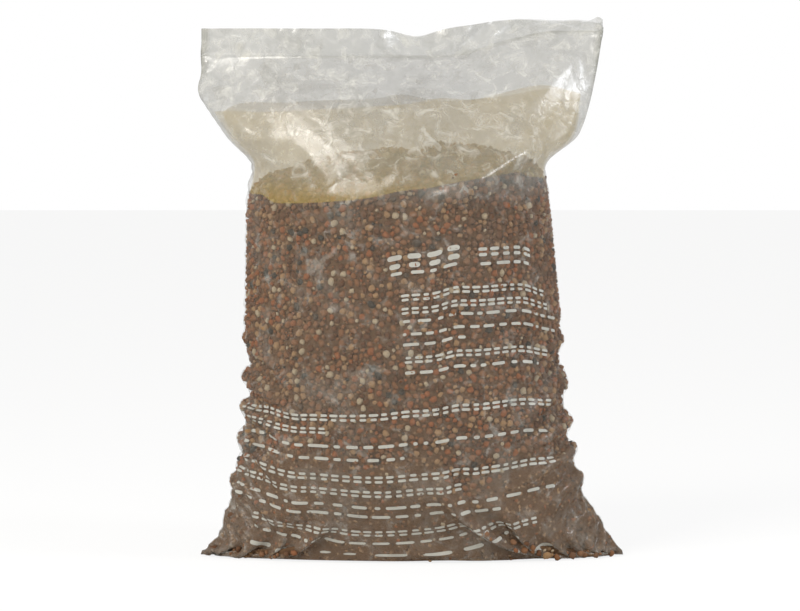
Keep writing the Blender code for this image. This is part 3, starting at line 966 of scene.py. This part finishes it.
class SOILBAG_OT_stage(bpy.types.Operator):
    """Sets the floor, the lamps and the camera"""

    bl_idname = "soilbag.stage"
    bl_label = "Studio"

    def execute(self, context):
        settings, scene = context.scene.soilbag_stage, context.scene
        floor = mesh_of("floor", [(-4, -4, 0), (4, -4, 0), (4, 4, 0), (-4, 4, 0)], [(0, 1, 2, 3)])
        floor.location.z = -0.0004
        material, tree, shader = shader_of("matt white studio paper")
        set_sockets(shader, {"Base Color": linear("F4F4F2"), "Roughness": 0.9, "Specular IOR Level": 0.2})
        seen = node(tree, "ShaderNodeLightPath")
        glow = node(tree, "ShaderNodeEmission", {"Color": (1, 1, 1, 1), "Strength": 1.1})
        part = node(tree, "ShaderNodeMath", {1: 0.75}, {0: seen.outputs["Is Camera Ray"]}, operation="MULTIPLY")
        mixed = node(tree, "ShaderNodeMixShader", {}, {0: part.outputs[0], 1: shader.outputs["BSDF"], 2: glow.outputs["Emission"]})
        tree.links.new(mixed.outputs["Shader"], tree.nodes["Material Output"].inputs["Surface"])
        floor.data.materials.append(material)

        world = bpy.data.worlds.new("white studio")
        world.use_nodes = True
        scene.world = world
        tree = world.node_tree
        seen = node(tree, "ShaderNodeLightPath")
        one = node(tree, "ShaderNodeMath", {}, {0: seen.outputs["Is Camera Ray"], 1: seen.outputs["Is Transmission Ray"]}, operation="MAXIMUM")
        two = node(tree, "ShaderNodeMath", {}, {0: one.outputs[0], 1: seen.outputs["Is Glossy Ray"]}, operation="MAXIMUM")
        strength = node(tree, "ShaderNodeMapRange", {"To Min": 0.42, "To Max": 1.0}, {"Value": two.outputs[0]})
        tree.links.new(strength.outputs["Result"], tree.nodes["Background"].inputs["Strength"])
        tree.nodes["Background"].inputs["Color"].default_value = (1, 1, 1, 1)

        middle = Vector((-0.0076, 0, 0.160))
        lamps = (
            ("key softbox", (-0.9, -1.1, 1.15), 0.7, settings.key, "FFFBF4"),
            ("side strip", (1.2, -0.5, 0.7), 0.35, settings.rim, "F6F9FF"),
        )
        for name, place, size, power, colour in lamps:
            data = bpy.data.lights.new(name, "AREA")
            data.size, data.energy, data.color = size, power, linear(colour)[:3]
            lamp = bpy.data.objects.new(name, data)
            lamp.location = place
            lamp.rotation_euler = (middle - Vector(place)).to_track_quat("-Z", "Y").to_euler()
            scene.collection.objects.link(lamp)

        data = bpy.data.cameras.new("camera")
        data.sensor_width = 36
        data.lens = 36 * settings.distance / settings.frame_width
        camera = bpy.data.objects.new("camera", data)
        angle = settings.elevation
        camera.location = middle + settings.distance * Vector((0, -math.cos(angle), math.sin(angle)))
        camera.rotation_euler = (middle - camera.location).to_track_quat("-Z", "Y").to_euler()
        scene.collection.objects.link(camera)
        scene.camera = camera
        scene.view_settings.view_transform = "Standard"
        return {"FINISHED"}


class SOILBAG_PT_panel(bpy.types.Panel):
    """Lists the bag's builders and their settings"""

    bl_idname = "SOILBAG_PT_panel"
    bl_label = "Soil bag"
    bl_space_type = "VIEW_3D"
    bl_region_type = "UI"
    bl_category = "Soil bag"

    def draw(self, context):
        for name, group, operators in PARTS:
            box = self.layout.box()
            box.label(text=name)
            settings = getattr(context.scene, group)
            for setting in settings.__annotations__:
                box.prop(settings, setting)
            for operator in operators:
                box.operator(operator.bl_idname)


PARTS = (
    ("Film", "soilbag_film", (SOILBAG_OT_film,)),
    ("Print", "soilbag_print", (SOILBAG_OT_band, SOILBAG_OT_print)),
    ("Soil", "soilbag_soil", (SOILBAG_OT_dust, SOILBAG_OT_granules)),
    ("Studio", "soilbag_stage", (SOILBAG_OT_stage,)),
)
GROUPS = {
    "soilbag_film": SOILBAG_PG_film,
    "soilbag_print": SOILBAG_PG_print,
    "soilbag_soil": SOILBAG_PG_soil,
    "soilbag_stage": SOILBAG_PG_stage,
}


def register():
    for group in GROUPS.values():
        bpy.utils.register_class(group)
    for _, _, operators in PARTS:
        for operator in operators:
            bpy.utils.register_class(operator)
    bpy.utils.register_class(SOILBAG_PT_panel)
    for name, group in GROUPS.items():
        setattr(bpy.types.Scene, name, PointerProperty(type=group))


def unregister():
    for name in GROUPS:
        delattr(bpy.types.Scene, name)
    bpy.utils.unregister_class(SOILBAG_PT_panel)
    for _, _, operators in PARTS:
        for operator in operators:
            bpy.utils.unregister_class(operator)
    for group in GROUPS.values():
        bpy.utils.unregister_class(group)


def main():
    register()
    bpy.ops.soilbag.film()
    bpy.ops.soilbag.band()
    bpy.ops.soilbag.print()
    bpy.ops.soilbag.dust()
    bpy.ops.soilbag.granules()
    bpy.ops.soilbag.stage()


if __name__ == "__main__":
    main()
